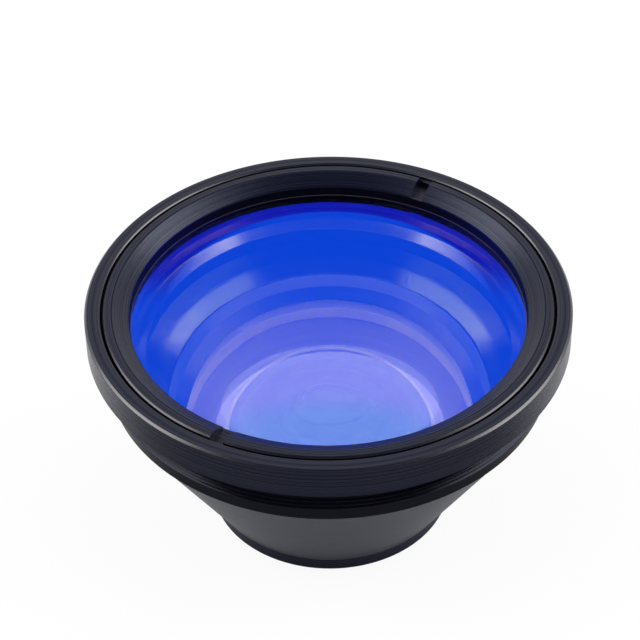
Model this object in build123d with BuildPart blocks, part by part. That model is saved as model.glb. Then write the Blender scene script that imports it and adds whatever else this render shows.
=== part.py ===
"""F-theta scan lens: three elements held by threaded rings in one turned barrel.

Millimetres, +Z up along the optical axis. The origin is the centre of the nose's end face, which the
lens stands on, with the large output end up and the front of the lens towards -Y.
"""

import math
import os

from build123d import *

# ---------------------------------------------------------------- glass
output_lens_radius = 39.0
output_lens_edge = 6.2
output_lens_land = 2.4
output_lens_curve = 170.0
middle_lens_radius = 26.4
middle_lens_edge = 4.7
middle_lens_land = 2.2
middle_lens_top_curve = 140.0
middle_lens_base_curve = 500.0
entrance_lens_radius = 20.6
entrance_lens_edge = 4.8
entrance_lens_land = 1.2
entrance_lens_curve = 107.0
lens_bevel = 0.25

# ---------------------------------------------------------------- fits
lens_clearance = 0.1
thread_clearance = 0.1
glass_margin = 0.1  # a ring or spacer bears on the lens's land, this far outside the curved part
nose_gap = 0.3  # the nose's lip stops short of the barrel, so that the ring bears on the glass

# ---------------------------------------------------------------- outside of the barrel
tube_wall = 3.4  # beside the output lens, which makes the mounting thread M85 x 1
rim_step = 2.5
rim_height = 6.2
mount_thread_height = 5.9
land_step = 1.0
land_height = 3.0
cone_step = 0.35
edge_chamfer = 0.43
foot_chamfer = 0.12  # at the foot of the rim and of the nose's lip
thread_chamfer = 0.5

# ---------------------------------------------------------------- output ring and spacer
output_thread_step = 2.75
output_ring_height = 3.6
output_ring_flat = 1.8
output_ring_land = 2.3  # how far the ring reaches in over the output lens
output_dish_depth = 1.6
output_wall_taper = 0.2
ring_chamfer = 0.3
slot_width = 2.7
slot_depth = 1.9
slot_angle = 61.8  # of the output ring's slots, from +X towards +Y
spacer_height = 4.5
spacer_foot_width = 5.6
spacer_grooved_height = 2.4
spacer_ledge_width = 1.3
spacer_ledge_fall = 0.2
groove_count = 4
groove_depth = 0.28

# ---------------------------------------------------------------- middle ring
middle_thread_step = 1.6
middle_ring_height = 3.6
middle_ring_fall = 2.0
middle_wall_taper = 2.2
middle_slot_width = 2.0
middle_slot_depth = 1.2

# ---------------------------------------------------------------- nose ring at the small end
nose_thread_step = 1.3
nose_thread_length = 2.25
nose_wall = 1.75
nose_lip_step = 0.45  # how far the lip stands in from the end of the cone
nose_lip_height = 2.6
nose_bore_step = 0.8
nose_flare = 1.4
nose_slot_depth = 1.2

# ---------------------------------------------------------------- bore of the barrel
mouth_step = 0.35
mouth_depth = 0.8
relief_width = 0.6
relief_step = 0.2
thread_run_out = 0.4
shelf_width = 5.6
shelf_wall = 4.0
funnel_step = 0.3
funnel_chamfer = 0.2
funnel_height = 4.7
middle_seat_width = 2.3
middle_seat_wall = 2.7
middle_wall_draft = 0.2
throat_height = 5.75
throat_land = 0.5
entrance_seat_width = 1.1


def sag(curve_radius, radius):
    """How far a spherical face falls from its middle to the given radius."""
    return curve_radius - math.sqrt(curve_radius**2 - radius**2)


# ---------------------------------------------------------------- heights, all from the nose up
barrel_base = nose_lip_height + nose_gap
entrance_lens_base = barrel_base + nose_thread_length
entrance_seat = entrance_lens_base + entrance_lens_edge
middle_seat = entrance_seat + throat_height
middle_lens_top = middle_seat + middle_lens_edge
funnel_base = middle_lens_top + middle_ring_height
funnel_top = funnel_base + funnel_height
shelf = funnel_top + funnel_chamfer + shelf_wall
output_lens_base = shelf + spacer_height
output_lens_top = output_lens_base + output_lens_edge
rim_top = output_lens_top + output_ring_height
shoulder = rim_top - rim_height
land_top = shoulder - mount_thread_height
cone_top = land_top - land_height
output_relief_top = output_lens_top - thread_run_out
middle_relief_top = middle_lens_top - thread_run_out
nose_relief_base = entrance_lens_base + thread_run_out

# ---------------------------------------------------------------- radii, all from the glass out
output_lens_clear = output_lens_radius - output_lens_land
middle_lens_clear = middle_lens_radius - middle_lens_land
entrance_lens_clear = entrance_lens_radius - entrance_lens_land
lens_bore_radius = output_lens_radius + lens_clearance
middle_bore_radius = middle_lens_radius + lens_clearance
entrance_bore_radius = entrance_lens_radius + lens_clearance
output_thread_radius = output_lens_radius + output_thread_step
middle_thread_radius = middle_lens_radius + middle_thread_step
nose_thread_radius = entrance_lens_radius + nose_thread_step
mount_thread_radius = lens_bore_radius + tube_wall
rim_radius = mount_thread_radius + rim_step
land_radius = mount_thread_radius - land_step
cone_top_radius = land_radius - cone_step
cone_end_radius = nose_thread_radius + nose_wall
shelf_radius = lens_bore_radius - shelf_width
middle_seat_radius = middle_bore_radius - middle_seat_width
entrance_seat_radius = entrance_bore_radius - entrance_seat_width

# The barrel: rim, mounting thread, pilot land and cone, turned from one bar.
with BuildPart() as barrel:
    with BuildSketch(Plane.XZ) as barrel_outline:
        with BuildLine():
            Polyline(
                (0, barrel_base),
                (cone_end_radius, barrel_base),
                (cone_top_radius, cone_top),
                (land_radius, cone_top),
                (land_radius, land_top),
                (mount_thread_radius, land_top),
                (mount_thread_radius, shoulder),
                (rim_radius, shoulder),
                (rim_radius, rim_top),
                (0, rim_top),
                close=True,
            )
        make_face()
        rim_corners = barrel_outline.vertices().filter_by_position(Axis.X, rim_radius, rim_radius)
        chamfer(rim_corners.sort_by(Axis.Y)[0], length=foot_chamfer)
        chamfer(rim_corners.sort_by(Axis.Y)[-1], length=edge_chamfer)
        thread_start = barrel_outline.vertices().filter_by_position(
            Axis.X, mount_thread_radius, mount_thread_radius
        )
        chamfer(thread_start.sort_by(Axis.Y)[0], length=thread_chamfer)
    revolve(axis=Axis.Z)

    # The bore from the top: mouth, ring thread and its relief, lens bore and the spacer's shelf, then
    # the funnel, the middle ring's thread, the middle lens's seat, the throat and the entrance seat.
    with BuildSketch(Plane.XZ) as bore_outline:
        with BuildLine():
            Polyline(
                (0, rim_top),
                (output_thread_radius + mouth_step, rim_top),
                (output_thread_radius + mouth_step, rim_top - mouth_depth),
                (output_thread_radius, rim_top - mouth_depth - mouth_step),
                (output_thread_radius, output_relief_top),
                (output_thread_radius + relief_step, output_relief_top - relief_step),
                (output_thread_radius + relief_step, output_relief_top - relief_width),
                (lens_bore_radius, output_relief_top - relief_width),
                (lens_bore_radius, shelf),
                (shelf_radius, shelf),
                (shelf_radius, funnel_top + funnel_chamfer),
                (shelf_radius - funnel_step, funnel_top),
                (middle_thread_radius, funnel_base),
                (middle_thread_radius, middle_relief_top),
                (middle_thread_radius + relief_step, middle_relief_top - relief_step),
                (middle_thread_radius + relief_step, middle_relief_top - relief_width),
                (middle_bore_radius, middle_relief_top - relief_width),
                (middle_bore_radius, middle_seat),
                (middle_seat_radius, middle_seat),
                (middle_seat_radius - middle_wall_draft, middle_seat - middle_seat_wall),
                (entrance_seat_radius, entrance_seat + throat_land),
                (entrance_seat_radius, entrance_seat),
                (entrance_bore_radius, entrance_seat),
                (entrance_bore_radius, nose_relief_base + relief_width),
                (nose_thread_radius + relief_step, nose_relief_base + relief_width),
                (nose_thread_radius + relief_step, nose_relief_base + relief_step),
                (nose_thread_radius, nose_relief_base),
                (nose_thread_radius, barrel_base),
                (0, barrel_base),
                close=True,
            )
        make_face()
    revolve(axis=Axis.Z, mode=Mode.SUBTRACT)
barrel.part.label = "barrel"

# The output retaining ring: a flat, a dished face that falls to the opening, and two spanner slots.
output_ring_radius = output_thread_radius - thread_clearance
output_foot_opening = output_lens_radius - output_ring_land
output_ring_opening = output_foot_opening + output_wall_taper
dish_edge_radius = output_ring_radius - output_ring_flat
with BuildPart() as output_retaining_ring:
    with BuildSketch(Plane.XZ) as output_ring_outline:
        with BuildLine():
            Polyline(
                (output_foot_opening, output_lens_top),
                (output_ring_radius, output_lens_top),
                (output_ring_radius, rim_top),
                (dish_edge_radius, rim_top),
                (output_ring_opening, rim_top - output_dish_depth),
                close=True,
            )
        make_face()
        outer_corners = output_ring_outline.vertices().filter_by_position(
            Axis.X, output_ring_radius, output_ring_radius
        )
        chamfer(outer_corners, length=ring_chamfer)
    revolve(axis=Axis.Z)
    with BuildSketch(Plane.XY.offset(rim_top)) as output_slots:
        with PolarLocations((output_ring_radius + output_ring_opening) / 2, 2, start_angle=slot_angle):
            Rectangle(output_ring_radius - output_ring_opening + 2 * slot_width, slot_width)
    extrude(amount=-slot_depth, mode=Mode.SUBTRACT)
output_retaining_ring.part.label = "output_retaining_ring"

# The output lens: flat outside, bulging inwards inside a flat seating land.
output_lens_middle = output_lens_base - sag(output_lens_curve, output_lens_clear)
with BuildPart() as output_lens:
    with BuildSketch(Plane.XZ) as output_lens_outline:
        with BuildLine():
            Polyline(
                (output_lens_clear, output_lens_base),
                (output_lens_radius, output_lens_base),
                (output_lens_radius, output_lens_top),
                (0, output_lens_top),
                (0, output_lens_middle),
            )
            TangentArc((0, output_lens_middle), (output_lens_clear, output_lens_base), tangent=(1, 0))
        make_face()
        lens_rim = output_lens_outline.vertices().filter_by_position(
            Axis.X, output_lens_radius, output_lens_radius
        )
        chamfer(lens_rim, length=lens_bevel)
    revolve(axis=Axis.Z)
output_lens.part.label = "output_lens"

# The output spacer: a grooved wall that kills glare, over a ledge and a cone down to the shelf.
spacer_radius = lens_bore_radius - lens_clearance
spacer_opening = output_lens_clear + glass_margin
groove_base = output_lens_base - spacer_grooved_height
groove_pitch = spacer_grooved_height / (groove_count + 0.5)
with BuildPart() as output_spacer:
    with BuildSketch(Plane.XZ) as spacer_outline:
        with BuildLine():
            Polyline(
                (spacer_radius - spacer_foot_width, shelf),
                (spacer_radius, shelf),
                (spacer_radius, output_lens_base),
                (spacer_opening, output_lens_base),
                (spacer_opening, groove_base),
                (spacer_opening - spacer_ledge_width, groove_base - spacer_ledge_fall),
                close=True,
            )
        make_face()
        with Locations((spacer_opening, output_lens_base - spacer_grooved_height / 2)):
            with GridLocations(0, groove_pitch, 1, groove_count):
                RegularPolygon(groove_depth, side_count=4, mode=Mode.SUBTRACT)
    revolve(axis=Axis.Z)
output_spacer.part.label = "output_spacer"

# The middle retaining ring: a coned face that falls inwards to a tapered opening, and two slots.
middle_ring_radius = middle_thread_radius - thread_clearance
middle_foot_opening = middle_lens_clear + glass_margin
middle_ring_opening = middle_foot_opening + middle_wall_taper
with BuildPart() as middle_retaining_ring:
    with BuildSketch(Plane.XZ) as middle_ring_outline:
        with BuildLine():
            Polyline(
                (middle_foot_opening, middle_lens_top),
                (middle_ring_radius, middle_lens_top),
                (middle_ring_radius, funnel_base),
                (middle_ring_opening, funnel_base - middle_ring_fall),
                close=True,
            )
        make_face()
        middle_ring_corners = middle_ring_outline.vertices().filter_by_position(
            Axis.X, middle_ring_radius, middle_ring_radius
        )
        chamfer(middle_ring_corners.sort_by(Axis.Y)[0], length=ring_chamfer)
    revolve(axis=Axis.Z)
    with BuildSketch(Plane.XY.offset(funnel_base)) as middle_slots:
        with PolarLocations((middle_ring_radius + middle_ring_opening) / 2, 2):
            Rectangle(middle_ring_radius - middle_ring_opening + 2 * middle_slot_width, middle_slot_width)
    extrude(amount=-middle_slot_depth, mode=Mode.SUBTRACT)
middle_retaining_ring.part.label = "middle_retaining_ring"

# The middle lens: a meniscus, bulging towards the output and slightly hollow towards the entrance.
middle_lens_crown = middle_lens_top + sag(middle_lens_top_curve, middle_lens_clear)
middle_lens_hollow = middle_seat + sag(middle_lens_base_curve, middle_lens_clear)
with BuildPart() as middle_lens:
    with BuildSketch(Plane.XZ) as middle_lens_outline:
        with BuildLine():
            TangentArc((0, middle_lens_hollow), (middle_lens_clear, middle_seat), tangent=(1, 0))
            Polyline(
                (middle_lens_clear, middle_seat),
                (middle_lens_radius, middle_seat),
                (middle_lens_radius, middle_lens_top),
                (middle_lens_clear, middle_lens_top),
            )
            TangentArc((0, middle_lens_crown), (middle_lens_clear, middle_lens_top), tangent=(1, 0))
            Line((0, middle_lens_crown), (0, middle_lens_hollow))
        make_face()
        middle_rim = middle_lens_outline.vertices().filter_by_position(
            Axis.X, middle_lens_radius, middle_lens_radius
        )
        chamfer(middle_rim, length=lens_bevel)
    revolve(axis=Axis.Z)
middle_lens.part.label = "middle_lens"

# The entrance lens: flat above, hollow towards the scanner, so thinnest in the middle.
entrance_lens_hollow = entrance_lens_base + sag(entrance_lens_curve, entrance_lens_clear)
with BuildPart() as entrance_lens:
    with BuildSketch(Plane.XZ) as entrance_lens_outline:
        with BuildLine():
            TangentArc(
                (0, entrance_lens_hollow), (entrance_lens_clear, entrance_lens_base), tangent=(1, 0)
            )
            Polyline(
                (entrance_lens_clear, entrance_lens_base),
                (entrance_lens_radius, entrance_lens_base),
                (entrance_lens_radius, entrance_seat),
                (0, entrance_seat),
                (0, entrance_lens_hollow),
            )
        make_face()
        entrance_rim = entrance_lens_outline.vertices().filter_by_position(
            Axis.X, entrance_lens_radius, entrance_lens_radius
        )
        chamfer(entrance_rim, length=lens_bevel)
    revolve(axis=Axis.Z)
entrance_lens.part.label = "entrance_lens"

# The nose ring: a threaded sleeve that bears on the entrance lens, and the lip the lens stands on.
nose_sleeve_radius = nose_thread_radius - thread_clearance
nose_lip_radius = cone_end_radius - nose_lip_step
nose_mouth_radius = entrance_lens_clear + glass_margin
nose_bore_radius = nose_mouth_radius - nose_bore_step
with BuildPart() as nose_retaining_ring:
    with BuildSketch(Plane.XZ) as nose_outline:
        with BuildLine():
            Polyline(
                (nose_bore_radius + nose_flare, 0),
                (nose_lip_radius, 0),
                (nose_lip_radius, nose_lip_height),
                (nose_sleeve_radius, nose_lip_height),
                (nose_sleeve_radius, entrance_lens_base),
                (nose_mouth_radius, entrance_lens_base),
                (nose_bore_radius, nose_lip_height),
                (nose_bore_radius, nose_flare),
                close=True,
            )
        make_face()
        lip_corners = nose_outline.vertices().filter_by_position(Axis.X, nose_lip_radius, nose_lip_radius)
        chamfer(lip_corners, length=foot_chamfer)
        sleeve_start = nose_outline.vertices().filter_by_position(
            Axis.X, nose_sleeve_radius, nose_sleeve_radius
        )
        chamfer(sleeve_start.sort_by(Axis.Y)[-1], length=ring_chamfer)
    revolve(axis=Axis.Z)
    with BuildSketch(Plane.XY) as nose_slots:
        with PolarLocations((nose_lip_radius + nose_bore_radius) / 2, 2):
            Rectangle(nose_lip_radius - nose_bore_radius + 2 * slot_width, slot_width)
    extrude(amount=nose_slot_depth, mode=Mode.SUBTRACT)
nose_retaining_ring.part.label = "nose_retaining_ring"

pieces = [
    barrel,
    output_retaining_ring,
    output_lens,
    output_spacer,
    middle_retaining_ring,
    middle_lens,
    entrance_lens,
    nose_retaining_ring,
]
os.makedirs("parts", exist_ok=True)
for piece in pieces:
    export_step(piece.part, f"parts/{piece.part.label}.step")
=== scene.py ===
"""F-theta scan lens: finishes, fine turned detail, studio and camera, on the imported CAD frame."""

import math

import bmesh
import bpy
from mathutils import Matrix, Vector


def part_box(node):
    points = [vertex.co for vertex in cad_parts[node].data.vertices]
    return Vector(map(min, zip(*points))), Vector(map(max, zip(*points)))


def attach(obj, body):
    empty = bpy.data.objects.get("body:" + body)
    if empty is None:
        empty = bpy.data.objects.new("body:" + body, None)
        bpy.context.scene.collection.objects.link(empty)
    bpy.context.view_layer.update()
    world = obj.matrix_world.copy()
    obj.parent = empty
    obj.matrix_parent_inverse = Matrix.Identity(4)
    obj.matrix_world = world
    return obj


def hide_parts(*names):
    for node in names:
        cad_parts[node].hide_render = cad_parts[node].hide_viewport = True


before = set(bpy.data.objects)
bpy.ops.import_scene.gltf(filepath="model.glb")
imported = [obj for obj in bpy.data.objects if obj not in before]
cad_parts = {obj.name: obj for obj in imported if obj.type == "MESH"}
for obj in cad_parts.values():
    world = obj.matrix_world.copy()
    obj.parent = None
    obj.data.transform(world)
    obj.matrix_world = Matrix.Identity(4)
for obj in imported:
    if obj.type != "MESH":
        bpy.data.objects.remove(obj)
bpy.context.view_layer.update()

MM = 0.001
SEGMENTS = 240

# ---------------------------------------------------------------- sizes in millimetres, as in the CAD
rim_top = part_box("barrel")[1].z / MM
barrel_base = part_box("barrel")[0].z / MM
rim_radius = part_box("barrel")[1].x / MM
rim_height = 6.2
edge_chamfer = 0.43
foot_chamfer = 0.12
mount_thread_radius = 42.5
mount_thread_height = 5.9
thread_pitch = 1.0
thread_depth = 0.56
thread_rows = 12  # per turn
thread_crest = 0.12  # the flat of the crest, as a share of half the pitch
thread_flank = 0.76
thread_fade = 0.9
thread_chamfer = 0.5
hair = 0.02
land_radius = 41.5
land_height = 3.0
cone_top_radius = 41.15
cone_end_radius = 23.65

output_lens_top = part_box("output_lens")[1].z / MM
output_lens_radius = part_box("output_lens")[1].x / MM
output_lens_clear = 36.6
output_lens_curve = 170.0
middle_lens_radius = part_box("middle_lens")[1].x / MM
middle_lens_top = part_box("middle_retaining_ring")[0].z / MM
middle_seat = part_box("middle_lens")[0].z / MM
middle_lens_clear = 24.2
middle_lens_top_curve = 140.0
middle_lens_base_curve = 500.0
entrance_lens_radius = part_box("entrance_lens")[1].x / MM
entrance_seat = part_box("entrance_lens")[1].z / MM
entrance_lens_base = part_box("entrance_lens")[0].z / MM
entrance_lens_clear = 19.4
entrance_lens_curve = 107.0
lens_bevel = 0.25
seat_gap = 0.02
line_width = 0.25

output_thread_radius = 41.75
output_ring_radius = 41.65
output_ring_flat = 1.8
output_ring_opening = 36.9
output_foot_opening = 36.7
output_dish_depth = 1.6
ring_chamfer = 0.3
slot_width = 2.7
slot_depth = 1.9
slot_angle = math.radians(61.8)
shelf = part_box("output_spacer")[0].z / MM
output_lens_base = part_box("output_spacer")[1].z / MM
spacer_radius = 39.0
spacer_opening = 36.7
spacer_foot_opening = 33.4
spacer_grooved_height = 2.4
spacer_ledge_width = 1.3
spacer_ledge_fall = 0.2
groove_count = 4
groove_depth = 0.26
funnel_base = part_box("middle_retaining_ring")[1].z / MM
middle_thread_radius = 28.0
middle_ring_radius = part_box("middle_retaining_ring")[1].x / MM
middle_foot_opening = 24.3
middle_ring_opening = 26.5
middle_ring_fall = 2.0
middle_slot_width = 2.0
middle_slot_depth = 1.2
nose_lip_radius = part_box("nose_retaining_ring")[1].x / MM
nose_lip_height = 2.6
nose_sleeve_radius = 21.8
nose_thread_radius = 21.9
nose_mouth_radius = 19.5
nose_bore_radius = 18.7
nose_flare = 1.4
nose_slot_depth = 1.2

lens_bore_radius = 39.1
middle_bore_radius = 26.5
entrance_bore_radius = 20.7
mouth_step = 0.35
mouth_depth = 0.8
mouth_chamfer = 0.26
relief_width = 0.6
relief_step = 0.2
thread_run_out = 0.4
shelf_radius = 33.5
shelf_wall = 4.0
funnel_step = 0.3
funnel_chamfer = 0.2
middle_seat_radius = 24.2
middle_seat_wall = 2.7
middle_wall_draft = 0.2
entrance_seat_radius = 19.6
throat_land = 0.5

shoulder = rim_top - rim_height
land_top = shoulder - mount_thread_height
cone_top = land_top - land_height


# ---------------------------------------------------------------- turning profiles into meshes
def rounded(points, closed=True, steps=3):
    """Turns (radius, height, corner) points into a profile whose corners are short curves, each held by
    a point just beyond it so that the flats beside it shade flat."""
    out = []
    count = len(points)
    for i, (r, z, corner) in enumerate(points):
        here = Vector((r, z))
        if corner <= 0 or (not closed and i in (0, count - 1)):
            out.append((r, z))
            continue
        before = Vector(points[i - 1][:2]) - here
        after = Vector(points[(i + 1) % count][:2]) - here
        reach = min(corner, 0.4 * before.length, 0.4 * after.length)
        start = here + before.normalized() * reach
        end = here + after.normalized() * reach
        out.append(tuple(here + before.normalized() * reach * 1.2))
        for k in range(steps + 1):
            t = k / steps
            out.append(tuple(start * (1 - t) ** 2 + here * 2 * t * (1 - t) + end * t * t))
        out.append(tuple(here + after.normalized() * reach * 1.2))
    return out


def lathe(name, profile, closed=True, radius_at=None, segments=SEGMENTS):
    """Revolves a profile in millimetres about the optical axis. Points on the axis become one vertex.
    radius_at(radius, height, angle) may change a point's radius, for a thread."""
    bm = bmesh.new()
    rings = []
    for r, z in profile:
        if r < 1e-6:
            rings.append([bm.verts.new((0, 0, z * MM))])
            continue
        ring = []
        for k in range(segments):
            a = 2 * math.pi * k / segments
            radius = radius_at(r, z, a) if radius_at else r
            ring.append(bm.verts.new((radius * MM * math.cos(a), radius * MM * math.sin(a), z * MM)))
        rings.append(ring)
    pairs = list(zip(rings, rings[1:]))
    if closed:
        pairs.append((rings[-1], rings[0]))
    for low, high in pairs:
        for k in range(segments):
            n = (k + 1) % segments
            if len(low) == 1 and len(high) == 1:
                continue
            if len(low) == 1:
                bm.faces.new((low[0], high[n], high[k]))
            elif len(high) == 1:
                bm.faces.new((low[k], low[n], high[0]))
            else:
                bm.faces.new((low[k], low[n], high[n], high[k]))
    bmesh.ops.recalc_face_normals(bm, faces=bm.faces)
    mesh = bpy.data.meshes.new(name)
    bm.to_mesh(mesh)
    bm.free()
    obj = bpy.data.objects.new(name, mesh)
    bpy.context.scene.collection.objects.link(obj)
    shade(obj)
    return obj


def shade(obj, limit=math.radians(32)):
    """Smooth shading, with edges sharper than the limit kept sharp."""
    bm = bmesh.new()
    bm.from_mesh(obj.data)
    for f in bm.faces:
        f.smooth = True
    for e in bm.edges:
        e.smooth = len(e.link_faces) != 2 or e.calc_face_angle(0) < limit
    bm.to_mesh(obj.data)
    bm.free()


def cut_slots(obj, width, depth, top, inner, outer, angle, upward=False):
    """Two opposite spanner slots, straight across a ring's end face."""
    bm = bmesh.new()
    half = width / 2
    over = 1.0
    low, high = (top - over, top + depth) if upward else (top - depth, top + over)
    for turn in (angle, angle + math.pi):
        across = Matrix.Rotation(turn, 4, "Z")
        corners = [
            bm.verts.new(across @ Vector((r * MM, s * half * MM, z * MM)))
            for r in (inner - over, outer + over)
            for s in (-1, 1)
            for z in (low, high)
        ]
        bmesh.ops.convex_hull(bm, input=corners)
    mesh = bpy.data.meshes.new("slot_cutter")
    bm.to_mesh(mesh)
    bm.free()
    cutter = bpy.data.objects.new("slot_cutter", mesh)
    bpy.context.scene.collection.objects.link(cutter)
    mod = obj.modifiers.new("slots", "BOOLEAN")
    mod.operation = "DIFFERENCE"
    mod.solver = "EXACT"
    mod.object = cutter
    bpy.context.view_layer.update()
    done = bpy.data.meshes.new_from_object(obj.evaluated_get(bpy.context.evaluated_depsgraph_get()))
    obj.modifiers.clear()
    obj.data = done
    bpy.data.objects.remove(cutter, do_unlink=True)
    shade(obj)


def arc(radius, edge_height, sag, steps=14):
    """Points of a spherical face, from the axis out to the given radius and height. A positive sag puts
    the middle above the edge."""
    if abs(sag) < 1e-9:
        return [(0.0, edge_height), (radius, edge_height)]
    curve = (radius**2 + sag**2) / (2 * abs(sag))
    out = []
    for k in range(steps + 1):
        r = radius * k / steps
        drop = curve - math.sqrt(curve**2 - r**2)
        out.append((r, edge_height + sag - math.copysign(drop, sag)))
    return out


def sag(curve_radius, radius):
    """How far a spherical face falls from its middle to the given radius."""
    return curve_radius - math.sqrt(curve_radius**2 - radius**2)


# ---------------------------------------------------------------- node helpers
def new_material(name):
    material = bpy.data.materials.new(name)
    material.use_nodes = True
    tree = material.node_tree
    tree.nodes.clear()
    return material, tree


def maths(tree, operation, a, b=None, clamp=False):
    node = tree.nodes.new("ShaderNodeMath")
    node.operation = operation
    node.use_clamp = clamp
    for socket, value in zip(node.inputs, (a, b)):
        if value is None:
            continue
        if isinstance(value, bpy.types.NodeSocket):
            tree.links.new(value, socket)
        else:
            socket.default_value = value
    return node.outputs[0]


def lathe_coordinates(tree):
    """Radius, height in millimetres, and the unit angle vector of a point on a turned surface."""
    where = tree.nodes.new("ShaderNodeTexCoord").outputs["Object"]
    split = tree.nodes.new("ShaderNodeSeparateXYZ")
    tree.links.new(where, split.inputs[0])
    x, y, z = split.outputs
    squares = maths(tree, "ADD", maths(tree, "MULTIPLY", x, x), maths(tree, "MULTIPLY", y, y))
    radius = maths(tree, "MULTIPLY", maths(tree, "SQRT", squares), 1 / MM)
    height = maths(tree, "MULTIPLY", z, 1 / MM)
    return where, radius, height


def noise(tree, vector, scale, detail=2.0, roughness=0.5):
    node = tree.nodes.new("ShaderNodeTexNoise")
    node.inputs["Scale"].default_value = scale
    node.inputs["Detail"].default_value = detail
    node.inputs["Roughness"].default_value = roughness
    tree.links.new(vector, node.inputs["Vector"])
    return node.outputs[0]


def between(tree, factor, low, high):
    """A value that runs from low to high as factor runs from 0 to 1."""
    node = tree.nodes.new("ShaderNodeMapRange")
    node.inputs["To Min"].default_value = low
    node.inputs["To Max"].default_value = high
    tree.links.new(factor, node.inputs["Value"])
    return node.outputs[0]


def blend_colours(tree, factor, first, second):
    node = tree.nodes.new("ShaderNodeMix")
    node.data_type = "RGBA"
    tree.links.new(factor, node.inputs["Factor"])
    node.inputs["A"].default_value = (*first, 1)
    node.inputs["B"].default_value = (*second, 1)
    return node.outputs["Result"]


def soft_step(tree, value, start, end, low=0.0, high=1.0):
    """Runs smoothly from low to high as value runs from start to end, and stays level outside."""
    node = tree.nodes.new("ShaderNodeMapRange")
    node.interpolation_type = "SMOOTHSTEP"
    node.inputs["From Min"].default_value = start
    node.inputs["From Max"].default_value = end
    node.inputs["To Min"].default_value = low
    node.inputs["To Max"].default_value = high
    tree.links.new(value, node.inputs["Value"])
    return node.outputs[0]


def weighted(tree, first, first_share, second, second_share):
    """The sum of two values, each times its share."""
    first = maths(tree, "MULTIPLY", first, first_share)
    return maths(tree, "ADD", first, maths(tree, "MULTIPLY", second, second_share))


def near_ring(tree, radius, height, ring_radius, ring_height, reach):
    """1 on a circle round the optical axis, falling to 0 at the given distance from it."""
    across = maths(tree, "SUBTRACT", radius, ring_radius)
    up = maths(tree, "SUBTRACT", height, ring_height)
    squares = maths(tree, "ADD", maths(tree, "MULTIPLY", across, across), maths(tree, "MULTIPLY", up, up))
    return soft_step(tree, maths(tree, "SQRT", squares), reach, reach * 0.6)


ring_slope = 1.37  # rings per millimetre of height, against those per millimetre of radius
fine_rings = 3.1
broad_rings = 0.45
dust_scale = 900.0
cloud_scale = 45.0
least_worn = 0.55
ring_relief = 0.00004
quarter_turn = 0.25  # the rings run round the axis, a quarter turn from the radial tangent


def turned_metal(
    name, dark, light, rough, spread, line_bump, specular, turned=0.3, contrast=0.3, worn=(), tints=None
):
    """Anodised aluminium with the fine rings that turning leaves. rough and spread give its roughness,
    turned how far the gleam is drawn out across the rings, and contrast how much they differ in gleam.
    worn lists edges, each a radius, a height and a reach in millimetres, where handling has polished the
    coat thin. tints are the gleam's colours on the coat and where it is worn."""
    material, tree = new_material(name)
    where, radius, height = lathe_coordinates(tree)
    along = maths(tree, "ADD", radius, maths(tree, "MULTIPLY", height, ring_slope))
    join = tree.nodes.new("ShaderNodeCombineXYZ")
    tree.links.new(along, join.inputs[0])
    fine = noise(tree, join.outputs[0], fine_rings, 3.0, 0.6)
    broad = noise(tree, join.outputs[0], broad_rings, 1.0)
    dust = noise(tree, where, dust_scale)
    cloud = noise(tree, where, cloud_scale)
    lines = soft_step(tree, fine, 0.36, 0.64)
    shader = tree.nodes.new("ShaderNodeBsdfPrincipled")
    tone = weighted(tree, lines, 0.6, cloud, 0.4)
    colour = blend_colours(tree, tone, dark, light)
    wear = weighted(tree, lines, 0.5, broad, 0.5)
    roughness = between(tree, wear, rough - spread, rough + spread)
    gleam = between(tree, lines, specular * (1 - contrast), specular * (1 + contrast))
    rubbed = 0.0
    for ring_radius, ring_height, reach in worn:
        edge = near_ring(tree, radius, height, ring_radius, ring_height, reach)
        patchy = maths(tree, "MULTIPLY", edge, between(tree, cloud, least_worn, 1.0))
        rubbed = maths(tree, "ADD", rubbed, patchy)
    coat, rubbed_tint = tints or (coat_tint, worn_tint)
    if worn:
        gleam = maths(tree, "ADD", gleam, maths(tree, "MULTIPLY", rubbed, worn_gleam))
        tree.links.new(blend_colours(tree, rubbed, coat, rubbed_tint), shader.inputs["Specular Tint"])
    else:
        shader.inputs["Specular Tint"].default_value = (*coat, 1)
    tree.links.new(colour, shader.inputs["Base Color"])
    tree.links.new(roughness, shader.inputs["Roughness"])
    tree.links.new(gleam, shader.inputs["Specular IOR Level"])
    shader.inputs["Anisotropic"].default_value = turned
    shader.inputs["Anisotropic Rotation"].default_value = quarter_turn
    tangent = tree.nodes.new("ShaderNodeTangent")
    tangent.direction_type = "RADIAL"
    tangent.axis = "Z"
    tree.links.new(tangent.outputs[0], shader.inputs["Tangent"])
    bump = tree.nodes.new("ShaderNodeBump")
    bump.inputs["Strength"].default_value = line_bump
    bump.inputs["Distance"].default_value = ring_relief
    relief = maths(tree, "ADD", fine, maths(tree, "MULTIPLY", dust, 0.25))
    tree.links.new(relief, bump.inputs["Height"])
    tree.links.new(bump.outputs[0], shader.inputs["Normal"])
    out = tree.nodes.new("ShaderNodeOutputMaterial")
    tree.links.new(shader.outputs[0], out.inputs[0])
    return material


haze_scale = 22.0
grain_scale = 1500.0


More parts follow.
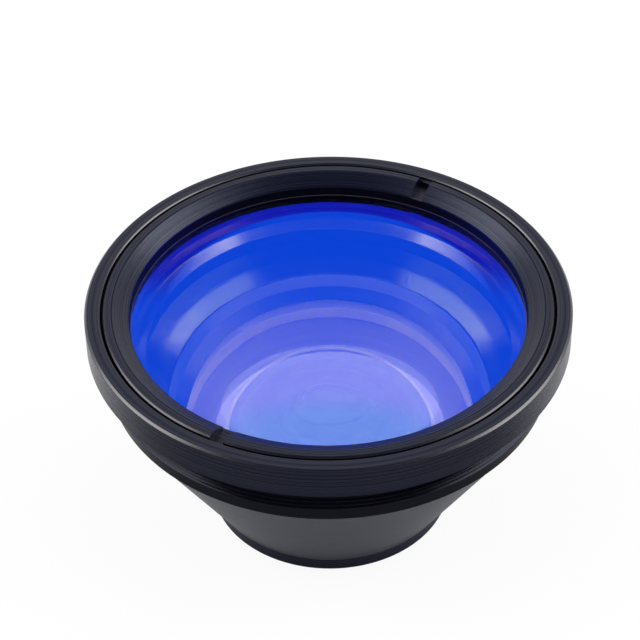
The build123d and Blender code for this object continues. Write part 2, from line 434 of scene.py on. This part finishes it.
def coated_glass(name, mirror, through, second=None, painted_reflection_radii=(0.0, 0.001), across=(0.0, 1.0), bare=False):
    """Clear glass under a coating that mirrors one colour and passes the rest. As both the radius and the
    place along Y pass the given spans, in millimetres, the mirrored colour turns to the second one: a
    painted reflection, laid in that patch. Bare glass also mirrors white light at its own strength, and all
    of it beyond the critical angle."""
    material, tree = new_material(name)
    where, radius, height = lathe_coordinates(tree)
    glossy = tree.nodes.new("ShaderNodeBsdfAnisotropic")
    glossy.inputs["Roughness"].default_value = 0.0
    haze = between(tree, noise(tree, where, haze_scale), 0.97, 1.0)
    tint = tree.nodes.new("ShaderNodeMix")
    tint.data_type = "RGBA"
    split = tree.nodes.new("ShaderNodeSeparateXYZ")
    tree.links.new(where, split.inputs[0])
    # Painted reflection: this mask turns the mirrored colour to the second one in one patch.
    painted_reflection_side = soft_step(tree, split.outputs["Y"], across[0] * MM, across[1] * MM)
    turned = maths(tree, "MULTIPLY", soft_step(tree, radius, *painted_reflection_radii), painted_reflection_side)
    tree.links.new(turned, tint.inputs["Factor"])
    tint.inputs["A"].default_value = (*mirror, 1)
    tint.inputs["B"].default_value = (*(second or mirror), 1)
    weaken = tree.nodes.new("ShaderNodeVectorMath")
    weaken.operation = "SCALE"
    tree.links.new(tint.outputs["Result"], weaken.inputs[0])
    tree.links.new(haze, weaken.inputs["Scale"])
    tree.links.new(weaken.outputs[0], glossy.inputs["Color"])
    refraction = tree.nodes.new("ShaderNodeBsdfGlass" if bare else "ShaderNodeBsdfRefraction")
    refraction.inputs["Color"].default_value = (*through, 1)
    refraction.inputs["Roughness"].default_value = 0.0
    refraction.inputs["IOR"].default_value = glass_index
    add = tree.nodes.new("ShaderNodeAddShader")
    tree.links.new(glossy.outputs[0], add.inputs[0])
    tree.links.new(refraction.outputs[0], add.inputs[1])
    out = tree.nodes.new("ShaderNodeOutputMaterial")
    tree.links.new(add.outputs[0], out.inputs[0])
    return material


def ground_edge(name, dark, light):
    """The finely ground edge of a lens, inked or bare."""
    material, tree = new_material(name)
    where, radius, height = lathe_coordinates(tree)
    grain = noise(tree, where, grain_scale)
    shader = tree.nodes.new("ShaderNodeBsdfPrincipled")
    tree.links.new(blend_colours(tree, grain, dark, light), shader.inputs["Base Color"])
    tree.links.new(between(tree, grain, 0.5, 0.7), shader.inputs["Roughness"])
    out = tree.nodes.new("ShaderNodeOutputMaterial")
    tree.links.new(shader.outputs[0], out.inputs[0])
    return material


glass_index = 1.507
coat_tint = (0.73, 0.77, 1.0)
worn_tint = (1.0, 0.95, 0.87)
worn_gleam = 0.45
worn_edges = [
    (rim_radius - edge_chamfer / 2, rim_top - edge_chamfer / 2, 0.42),
    (output_ring_radius - ring_chamfer / 2, rim_top - ring_chamfer / 2, 0.30),
    (output_thread_radius + mouth_step + mouth_chamfer / 2, rim_top - mouth_chamfer / 2, 0.32),
]
worn_wall = [(output_ring_opening - 0.02, rim_top - output_dish_depth - 0.12, 0.30)]
polished_foot = [(middle_thread_radius + 0.3, funnel_base + 0.4, 3.8)]
worn_groove = [(spacer_opening, output_lens_base, 0.34)]
black = {"dark": (0.001, 0.001, 0.003), "light": (0.002, 0.002, 0.005)}

# Outside of the lens.
satin = turned_metal(
    "anodised_satin", (0.001, 0.0016, 0.007), (0.003, 0.0042, 0.014),
    rough=0.28, spread=0.05, line_bump=1.0, specular=0.34, contrast=0.85, worn=worn_edges,
)
# The cone's satin anodising, partly real finish and partly painted light: a lighter copy standing in for
# the floor that the cone reflects.
cone_satin_painted_light = turned_metal(
    "cone_satin_painted_light", (0.012, 0.013, 0.024), (0.018, 0.020, 0.036),
    rough=0.30, spread=0.05, line_bump=0.9, specular=0.47, contrast=0.6,
)
thread_black = turned_metal("thread_black", **black, rough=0.22, spread=0.04, line_bump=0.4, specular=0.16)

# Inside, from the large end to the small one.
wall_black = turned_metal(
    "anodised_wall", (0.001, 0.001, 0.002), (0.002, 0.002, 0.004),
    rough=0.45, spread=0.05, line_bump=0.3, specular=0.08,
    worn=worn_wall, tints=((0.7, 0.8, 1.0), (0.80, 0.70, 1.0)),
)
groove_satin = turned_metal(
    "groove_satin", (0.004, 0.002, 0.02), (0.008, 0.004, 0.03),
    rough=0.20, spread=0.04, line_bump=0.3, specular=0.22,
    worn=worn_groove, tints=((0.70, 0.45, 1.0), (0.95, 0.80, 1.0)),
)
cone_gleam = turned_metal(
    "spacer_gleam", **black, rough=0.13, spread=0.02, line_bump=0.3, specular=0.75,
    turned=0.5, contrast=0.2, tints=((0.90, 1.0, 1.0), (0.90, 1.0, 1.0)),
)
matt = turned_metal(
    "anodised_matt", **black, rough=0.17, spread=0.03, line_bump=0.4, specular=0.08,
    turned=0.5, worn=polished_foot, tints=((0.6, 0.95, 1.0), (0.75, 1.0, 1.0)),
)
# The inner retaining ring's blue anodising on its upper face, with a darker copy for its inner wall as
# painted shade.
inner_satin = turned_metal(
    "inner_satin", (0.030, 0.055, 0.16), (0.045, 0.080, 0.24),
    rough=0.38, spread=0.05, line_bump=0.4, specular=0.5, turned=0.4,
)
inner_painted_shade = turned_metal(
    "inner_painted_shade", (0.007, 0.02, 0.11), (0.012, 0.03, 0.17),
    rough=0.38, spread=0.05, line_bump=0.4, specular=0.3, turned=0.4,
)
# Painted light: the seat under the middle lens is coloured near white and the throat below it pale lavender
# grey, standing in for light in the deep bore of the black barrel.
seat_painted_light = turned_metal(
    "seat_satin_painted_light", (0.97, 0.86, 0.92), (0.99, 0.90, 0.96),
    rough=0.45, spread=0.05, line_bump=0.3, specular=1.0,
)
throat_painted_light = turned_metal(
    "throat_satin_painted_light", (0.22, 0.21, 0.34), (0.29, 0.28, 0.42),
    rough=0.40, spread=0.05, line_bump=0.3, specular=0.5,
)

# Glass.
# Painted reflection: past a radius of 31.8 mm and Y of 16 mm, near the back of the rim, the mirrored blue
# turns darker.
output_coating = coated_glass(
    "output_coating", (0.001, 0.050, 0.66), (0.99, 0.93, 0.72),
    second=(0.002, 0.008, 0.42), painted_reflection_radii=(30.8, 31.8), across=(2, 16),
)
output_back_coating = coated_glass("output_back_coating", (0.002, 0.004, 0.03), (0.99, 0.99, 0.99))
# Painted reflection: toward the front, from Y = 0.4 mm to -4 mm, the middle lens's mirrored colour turns
# greener and less blue.
middle_coating = coated_glass(
    "middle_coating", (0.13, 0.13, 0.24), (0.98, 0.98, 0.98), second=(0.07, 0.155, 0.16), across=(0.4, -4.0)
)
middle_back_coating = coated_glass("middle_back_coating", (0.08, 0.09, 0.14), (0.99, 0.99, 0.99))
entrance_coating = coated_glass("entrance_coating", (0.02, 0.08, 0.04), (0.93, 0.98, 0.97), bare=True)
edge_ink = ground_edge("lens_edge_ink", (0.004, 0.004, 0.006), (0.012, 0.012, 0.016))
# Painted highlight: a thin violet ring round the front lens's upper face.
painted_rim_highlight = ground_edge("lens_rim_painted_highlight", (0.05, 0.04, 0.09), (0.08, 0.06, 0.14))
entrance_edge_ink = ground_edge("entrance_edge_ink", (0.05, 0.05, 0.10), (0.07, 0.07, 0.14))
ground_glass = ground_edge("lens_ground_edge", (0.88, 0.88, 0.92), (0.95, 0.95, 0.97))


def finished(obj, slot, *nodes):
    """The piece rides on the only body and stands for its CAD node."""
    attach(obj, "root")
    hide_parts(*nodes)
    return obj


def paint(obj, *materials, choose=None):
    """Gives a piece its materials. choose(radius, height, face) says which one a face takes, by the
    place of its middle in millimetres."""
    obj.data.materials.clear()
    for material in materials:
        obj.data.materials.append(material)
    if choose:
        for face in obj.data.polygons:
            away = Vector(face.center[:2]).length / MM
            face.material_index = materials.index(choose(away, face.center.z / MM, face))
    return obj


# ---------------------------------------------------------------- the barrel
def thread_points():
    """Heights of the mounting thread's rows, from its foot up to the shoulder."""
    rows = int(mount_thread_height / thread_pitch * thread_rows)
    foot = land_top + hair
    top = shoulder - hair
    return [(mount_thread_radius, foot + (top - foot) * k / rows, 0) for k in range(rows + 1)]


def thread_radius(r, z, angle):
    """The mounting thread's right-hand helix, faded out where it meets the shoulder and the land."""
    if abs(r - mount_thread_radius) > 1e-6:
        return r
    turn = ((z - land_top) / thread_pitch - angle / (2 * math.pi)) % 1.0
    wave = abs(2 * turn - 1)
    groove = min(1.0, max(0.0, (wave - thread_crest) / thread_flank))
    lead_in = max(0.0, 1 - (z - land_top) / thread_chamfer) * thread_chamfer
    run_out = min(1.0, max(0.0, (shoulder - z) / thread_fade))
    return mount_thread_radius - max(groove * thread_depth * run_out, lead_in)


def build_barrel():
    relief_top = output_lens_top - thread_run_out
    middle_relief = middle_lens_top - thread_run_out
    nose_relief = entrance_lens_base + thread_run_out
    outside = [
        (nose_thread_radius, barrel_base, 0.1),
        (cone_end_radius, barrel_base, 0.25),
        (cone_top_radius, cone_top, 0),
        (land_radius, cone_top, 0.15),
        (land_radius, land_top, 0),
        *thread_points(),
        (rim_radius - foot_chamfer, shoulder, 0.04),
        (rim_radius, shoulder + foot_chamfer, 0.04),
        (rim_radius, rim_top - edge_chamfer, 0.08),
        (rim_radius - edge_chamfer, rim_top, 0.08),
    ]
    inside = [
        (output_thread_radius + mouth_step + mouth_chamfer, rim_top, 0.04),
        (output_thread_radius + mouth_step, rim_top - mouth_chamfer, 0.04),
        (output_thread_radius + mouth_step, rim_top - mouth_depth, 0),
        (output_thread_radius, rim_top - mouth_depth - mouth_step, 0),
        (output_thread_radius, relief_top, 0),
        (output_thread_radius + relief_step, relief_top - relief_step, 0),
        (output_thread_radius + relief_step, relief_top - relief_width, 0),
        (lens_bore_radius, relief_top - relief_width, 0.1),
        (lens_bore_radius, shelf, 0),
        (shelf_radius, shelf, 0.15),
        (shelf_radius, shelf - shelf_wall, 0.05),
        (shelf_radius - funnel_step, shelf - shelf_wall - funnel_chamfer, 0.15),
        (middle_thread_radius, funnel_base, 0.2),
        (middle_thread_radius, middle_relief, 0),
        (middle_thread_radius + relief_step, middle_relief - relief_step, 0),
        (middle_thread_radius + relief_step, middle_relief - relief_width, 0),
        (middle_bore_radius, middle_relief - relief_width, 0.1),
        (middle_bore_radius, middle_seat, 0),
        (middle_seat_radius, middle_seat, 0.1),
        (middle_seat_radius - middle_wall_draft, middle_seat - middle_seat_wall, 0.15),
        (entrance_seat_radius, entrance_seat + throat_land, 0.15),
        (entrance_seat_radius, entrance_seat, 0.05),
        (entrance_bore_radius, entrance_seat, 0),
        (entrance_bore_radius, nose_relief + relief_width, 0.1),
        (nose_thread_radius + relief_step, nose_relief + relief_width, 0),
        (nose_thread_radius + relief_step, nose_relief + relief_step, 0),
        (nose_thread_radius, nose_relief, 0),
    ]
    obj = lathe("lens_barrel", rounded(outside + inside), radius_at=thread_radius)
    seat_wall_foot = middle_seat - middle_seat_wall + 0.1

    def finish_at(away, z, face):
        if away < shelf_radius + 0.05 and shelf - shelf_wall < z < shelf:
            return wall_black
        faces_out = face.normal.x * face.center.x + face.normal.y * face.center.y > 0
        if faces_out and z < shoulder - 0.05:
            # The cone takes the lighter copy, which is partly painted light.
            return cone_satin_painted_light if z < cone_top else thread_black
        if away > shelf_radius + 0.05 or z > shelf - 0.05 or z < entrance_seat - 0.1:
            return satin
        # The middle seat and the throat take the painted light finishes.
        if seat_wall_foot < z < middle_seat + 0.1 or z < entrance_seat + throat_land:
            return seat_painted_light
        return throat_painted_light if z < seat_wall_foot else matt

    paint(obj, satin, matt, seat_painted_light, throat_painted_light, wall_black, cone_satin_painted_light, thread_black, choose=finish_at)
    return finished(obj, "anodised_satin", "barrel")


# ---------------------------------------------------------------- rings and spacer
def build_output_ring():
    flat = output_ring_radius - output_ring_flat
    profile = [
        (output_foot_opening, output_lens_top, 0.1),
        (output_ring_radius - ring_chamfer, output_lens_top, 0),
        (output_ring_radius, output_lens_top + ring_chamfer, 0),
        (output_ring_radius, rim_top - ring_chamfer, 0.08),
        (output_ring_radius - ring_chamfer, rim_top, 0.08),
        (flat, rim_top, 0.15),
        (output_ring_opening, rim_top - output_dish_depth, 0.12),
    ]
    obj = lathe("front_retaining_ring", rounded(profile))

    def finish_at(away, z, face):
        return wall_black if away < output_ring_opening - 0.01 else satin

    paint(obj, satin, wall_black, choose=finish_at)
    cut_slots(obj, slot_width, slot_depth, rim_top, output_ring_opening, output_ring_radius, slot_angle)
    return finished(obj, "anodised_satin", "output_retaining_ring")


def build_spacer():
    base = output_lens_base - spacer_grooved_height
    pitch = spacer_grooved_height / (groove_count + 0.5)
    top = output_lens_base
    grooves = []
    for k in range(groove_count):
        middle = top - spacer_grooved_height / 2 + (groove_count / 2 - 0.5 - k) * pitch
        grooves += [
            (spacer_opening, middle + groove_depth, 0),
            (spacer_opening + groove_depth, middle, 0),
            (spacer_opening, middle - groove_depth, 0),
        ]
    profile = [
        (spacer_foot_opening, shelf, 0.1),
        (spacer_radius, shelf, 0),
        (spacer_radius, top, 0),
        (spacer_opening, top, 0),
        *grooves,
        (spacer_opening, base, 0.08),
        (spacer_opening - spacer_ledge_width, base - spacer_ledge_fall, 0.12),
    ]
    obj = lathe("grooved_spacer", rounded(profile))

    def finish_at(away, z, face):
        if away > spacer_opening - 0.02:
            return groove_satin
        return cone_gleam if away < spacer_opening - spacer_ledge_width else matt

    paint(obj, matt, groove_satin, cone_gleam, choose=finish_at)
    return finished(obj, "anodised_matt", "output_spacer")


def build_middle_ring():
    profile = [
        (middle_foot_opening, middle_lens_top, 0.1),
        (middle_ring_radius - ring_chamfer, middle_lens_top, 0),
        (middle_ring_radius, middle_lens_top + ring_chamfer, 0),
        (middle_ring_radius, funnel_base, 0.1),
        (middle_ring_opening, funnel_base - middle_ring_fall, 0.15),
    ]
    obj = lathe("inner_retaining_ring", rounded(profile))
    cut_slots(
        obj, middle_slot_width, middle_slot_depth, funnel_base, middle_foot_opening, middle_ring_radius, 0.0
    )

    def finish_at(away, z, face):
        # The inner wall takes the darker copy: painted shade.
        return inner_painted_shade if away < middle_ring_opening else inner_satin

    paint(obj, inner_satin, inner_painted_shade, choose=finish_at)
    return finished(obj, "anodised_matt", "middle_retaining_ring")


def build_nose_ring():
    profile = [
        (nose_bore_radius + nose_flare, 0, 0.12),
        (nose_lip_radius - foot_chamfer, 0, 0.04),
        (nose_lip_radius, foot_chamfer, 0.04),
        (nose_lip_radius, nose_lip_height - foot_chamfer, 0.04),
        (nose_lip_radius - foot_chamfer, nose_lip_height, 0.04),
        (nose_sleeve_radius, nose_lip_height, 0),
        (nose_sleeve_radius, entrance_lens_base - ring_chamfer, 0),
        (nose_sleeve_radius - ring_chamfer, entrance_lens_base, 0),
        (nose_mouth_radius, entrance_lens_base, 0.05),
        (nose_bore_radius, nose_lip_height, 0.2),
        (nose_bore_radius, nose_flare, 0.2),
    ]
    obj = lathe("nose_ring", rounded(profile))
    cut_slots(obj, slot_width, nose_slot_depth, 0.0, nose_bore_radius, nose_lip_radius, 0.0, upward=True)
    return finished(paint(obj, satin), "anodised_satin", "nose_retaining_ring")


# ---------------------------------------------------------------- glass
def build_lens(name, node, slot, finishes, radius, clear, base, base_sag, top, top_sag):
    """A lens whose faces are spherical inside the clear radius and flat outside it. A face sags
    upwards in the middle where its sag is positive. The hidden lands stand a hair off the metal that
    they meet, so that the two skins never lie in one place. The finishes are those of the upper face, the
    lower face, the ground edge, and the narrow ring round the upper face."""
    upper, lower, edge, line = finishes
    below = arc(clear, base, base_sag)
    above = arc(clear, top, top_sag)
    rim = [
        (radius - lens_bevel, base + seat_gap),
        (radius, base + lens_bevel + seat_gap),
        (radius, top - lens_bevel - seat_gap),
        (radius - lens_bevel, top - seat_gap),
        (clear + line_width, top),
    ]
    obj = lathe(name, [*below, *rim, *reversed(above)], closed=False)

    def finish_at(away, z, face):
        on_top = z > (top + base) / 2
        if away < clear:
            return upper if on_top else lower
        return line if on_top and away < clear + line_width else edge

    paint(obj, upper, lower, edge, line, choose=finish_at)
    return finished(obj, slot, node)


def build_glass():
    build_lens(
        "front_lens", "output_lens", "coated_glass",
        # The front lens's narrow ring round its upper face is a painted highlight.
        (output_coating, output_back_coating, edge_ink, painted_rim_highlight),
        output_lens_radius, output_lens_clear,
        output_lens_base, -sag(output_lens_curve, output_lens_clear), output_lens_top, 0.0,
    )
    build_lens(
        "inner_lens", "middle_lens", "inner_glass",
        (middle_coating, middle_back_coating, ground_glass, middle_coating),
        middle_lens_radius, middle_lens_clear,
        middle_seat, sag(middle_lens_base_curve, middle_lens_clear),
        middle_lens_top, sag(middle_lens_top_curve, middle_lens_clear),
    )
    build_lens(
        "nose_lens", "entrance_lens", "inner_glass",
        (entrance_coating, entrance_coating, entrance_edge_ink, entrance_coating),
        entrance_lens_radius, entrance_lens_clear,
        entrance_lens_base, sag(entrance_lens_curve, entrance_lens_clear), entrance_seat, 0.0,
    )


# ---------------------------------------------------------------- studio
# Directions are given as parts of a unit vector: feet, heads, the roof and the rise along Z, the wall,
# backs and fronts along Y, inner edges along X. A pair is the start and the end of a soft edge.
wall_edge = (-0.35, 0.25)
front_level = 0.12
back_level = 1.0
roof_edge = (0.78, 0.94)
roof_level = 0.3

softbox_foot = (0.22, 0.36)
softbox_head = (0.93, 0.85)
softbox_back = (0.50, 0.40)
softbox_fade = 0.10
softbox_inner = (0.44, 0.58)
softbox_front = -0.34
softbox_level = 6.2

fill_front_level = 0.05
fill_back_level = 1.0
fill_rise = (0.30, 0.85)
fill_low_share = 0.75
fill_high_share = 1.2
fill_inner = (0.50, 0.78)
fill_front = -0.55
fill_level = 4.5
panel_foot = (0.26, 0.32)
panel_head = (0.46, 0.40)
panel_front = (-0.35, -0.50)
panel_level = 5.0

floor_colours = ((0.86, 0.86, 0.87), (0.88, 0.88, 0.88))
floor_grain = 4.0
floor_glow = 0.89
# Painted shade on the floor as polished metal sees it: its span along Y, and the shares kept in front and
# behind.
floor_fade = (-0.045, 0.010)  # metres along Y
floor_kept_front = 0.32
floor_kept_back = 0.85


def build_floor():
    """White to the camera but for the object's shadow. Polished metal sees it with painted shade, darker
    most of all in front, standing for the photographer's dark room."""
    material, tree = new_material("studio_floor")
    path = tree.nodes.new("ShaderNodeLightPath")
    diffuse = tree.nodes.new("ShaderNodeBsdfDiffuse")
    where = tree.nodes.new("ShaderNodeTexCoord").outputs["Object"]
    grain = noise(tree, where, floor_grain)
    tree.links.new(blend_colours(tree, grain, *floor_colours), diffuse.inputs["Color"])
    glow = tree.nodes.new("ShaderNodeEmission")
    glow.inputs["Color"].default_value = (1, 1, 1, 1)
    glow.inputs["Strength"].default_value = 1.0
    mix = tree.nodes.new("ShaderNodeMixShader")
    tree.links.new(maths(tree, "MULTIPLY", path.outputs["Is Camera Ray"], floor_glow), mix.inputs[0])
    tree.links.new(diffuse.outputs[0], mix.inputs[1])
    tree.links.new(glow.outputs[0], mix.inputs[2])
    # Painted shade: mirror rays see the floor darkened along Y, most in front.
    dark = tree.nodes.new("ShaderNodeEmission")
    dark.inputs["Strength"].default_value = 0.0
    split = tree.nodes.new("ShaderNodeSeparateXYZ")
    tree.links.new(where, split.inputs[0])
    painted_floor_shade = soft_step(tree, split.outputs["Y"], *floor_fade, 1 - floor_kept_front, 1 - floor_kept_back)
    painted_shade_mix = tree.nodes.new("ShaderNodeMixShader")
    tree.links.new(maths(tree, "MULTIPLY", path.outputs["Is Glossy Ray"], painted_floor_shade), painted_shade_mix.inputs[0])
    tree.links.new(mix.outputs[0], painted_shade_mix.inputs[1])
    tree.links.new(dark.outputs[0], painted_shade_mix.inputs[2])
    out = tree.nodes.new("ShaderNodeOutputMaterial")
    tree.links.new(painted_shade_mix.outputs[0], out.inputs[0])
    bpy.ops.mesh.primitive_plane_add(size=6, location=(0, 0, -0.0002))
    floor = bpy.context.object
    floor.name = "studio_floor"
    floor.data.materials.append(material)


def softboxes(tree, x, y, z, inner, front, level):
    """A tall softbox on each side, its soft inner edge and its front edge at the given direction values."""
    beside = soft_step(tree, maths(tree, "ABSOLUTE", x), *inner)
    tall = maths(tree, "MULTIPLY", soft_step(tree, z, *softbox_foot), soft_step(tree, z, *softbox_head))
    from_front = soft_step(tree, y, front, front + softbox_fade)
    wide = maths(tree, "MULTIPLY", from_front, soft_step(tree, y, *softbox_back))
    box = maths(tree, "MULTIPLY", beside, maths(tree, "MULTIPLY", tall, wide))
    return maths(tree, "MULTIPLY", box, level)


def tent_seen_by_mirrors(tree, x, y, z):
    """White behind, dark overhead and in front, with a crisp softbox on each side."""
    wall = soft_step(tree, y, *wall_edge, front_level, back_level)
    roof = soft_step(tree, z, *roof_edge, 1.0, roof_level)
    boxes = softboxes(tree, x, y, z, softbox_inner, softbox_front, softbox_level)
    return maths(tree, "ADD", maths(tree, "MULTIPLY", wall, roof), boxes)


def tent_that_lights(tree, x, y, z):
    """What lights the object, and what is seen through its glass: softer boxes, and a low panel in front
    that reaches the walls at the back."""
    wall = soft_step(tree, y, *wall_edge, fill_front_level, fill_back_level)
    wall = maths(tree, "MULTIPLY", wall, soft_step(tree, z, *fill_rise, fill_low_share, fill_high_share))
    fill = maths(tree, "ADD", wall, softboxes(tree, x, y, z, fill_inner, fill_front, fill_level))
    panel = maths(tree, "MULTIPLY", soft_step(tree, z, *panel_foot), soft_step(tree, z, *panel_head))
    panel = maths(tree, "MULTIPLY", panel, soft_step(tree, y, *panel_front, 0.0, panel_level))
    return maths(tree, "ADD", fill, panel)


def build_world():
    """A photographer's tent. The camera itself sees plain white."""
    world = bpy.data.worlds.new("studio")
    bpy.context.scene.world = world
    world.use_nodes = True
    tree = world.node_tree
    tree.nodes.clear()
    split = tree.nodes.new("ShaderNodeSeparateXYZ")
    tree.links.new(tree.nodes.new("ShaderNodeTexCoord").outputs["Generated"], split.inputs[0])
    mirrored = tent_seen_by_mirrors(tree, *split.outputs)
    fill = tent_that_lights(tree, *split.outputs)
    path = tree.nodes.new("ShaderNodeLightPath")
    outside = maths(tree, "SUBTRACT", 1.0, path.outputs["Is Transmission Ray"])
    mirror_ray = maths(tree, "MULTIPLY", path.outputs["Is Glossy Ray"], outside)
    kind = tree.nodes.new("ShaderNodeMix")
    tree.links.new(mirror_ray, kind.inputs["Factor"])
    tree.links.new(fill, kind.inputs["A"])
    tree.links.new(mirrored, kind.inputs["B"])
    pick = tree.nodes.new("ShaderNodeMix")
    tree.links.new(path.outputs["Is Camera Ray"], pick.inputs["Factor"])
    tree.links.new(kind.outputs["Result"], pick.inputs["A"])
    pick.inputs["B"].default_value = 1.0
    background = tree.nodes.new("ShaderNodeBackground")
    background.inputs["Color"].default_value = (1, 1, 1, 1)
    tree.links.new(pick.outputs["Result"], background.inputs["Strength"])
    out = tree.nodes.new("ShaderNodeOutputWorld")
    tree.links.new(background.outputs[0], out.inputs[0])


def build_camera():
    """The photograph's camera, fitted to the lens's circles: the distance is to the rim's centre."""
    elevation = math.radians(40.1)
    roll = math.radians(-0.82)
    distance = 0.42
    pixels_per_mm = 5.42
    frame_pixels = 640
    principal = (328.3, 300.5)
    target = Vector((0, 0, rim_top * MM))
    back = Vector((0, -math.cos(elevation), math.sin(elevation)))
    right = Vector((1, 0, 0))
    up = back.cross(right)
    data = bpy.data.cameras.new("photo_camera")
    data.sensor_width = 36.0
    data.lens = pixels_per_mm * distance / MM / frame_pixels * data.sensor_width
    data.shift_x = (frame_pixels / 2 - principal[0]) / frame_pixels
    data.shift_y = (principal[1] - frame_pixels / 2) / frame_pixels
    data.clip_start = 0.01
    camera = bpy.data.objects.new("photo_camera", data)
    turned_right = right * math.cos(roll) + up * math.sin(roll)
    turned_up = up * math.cos(roll) - right * math.sin(roll)
    camera.matrix_world = Matrix.Translation(target + back * distance) @ Matrix(
        (turned_right, turned_up, back)
    ).transposed().to_4x4()
    bpy.context.scene.collection.objects.link(camera)
    bpy.context.scene.camera = camera


build_camera()
build_floor()
build_world()
build_barrel()
build_output_ring()
build_spacer()
build_middle_ring()
build_nose_ring()
build_glass()

bpy.context.scene.view_settings.view_transform = "Standard"
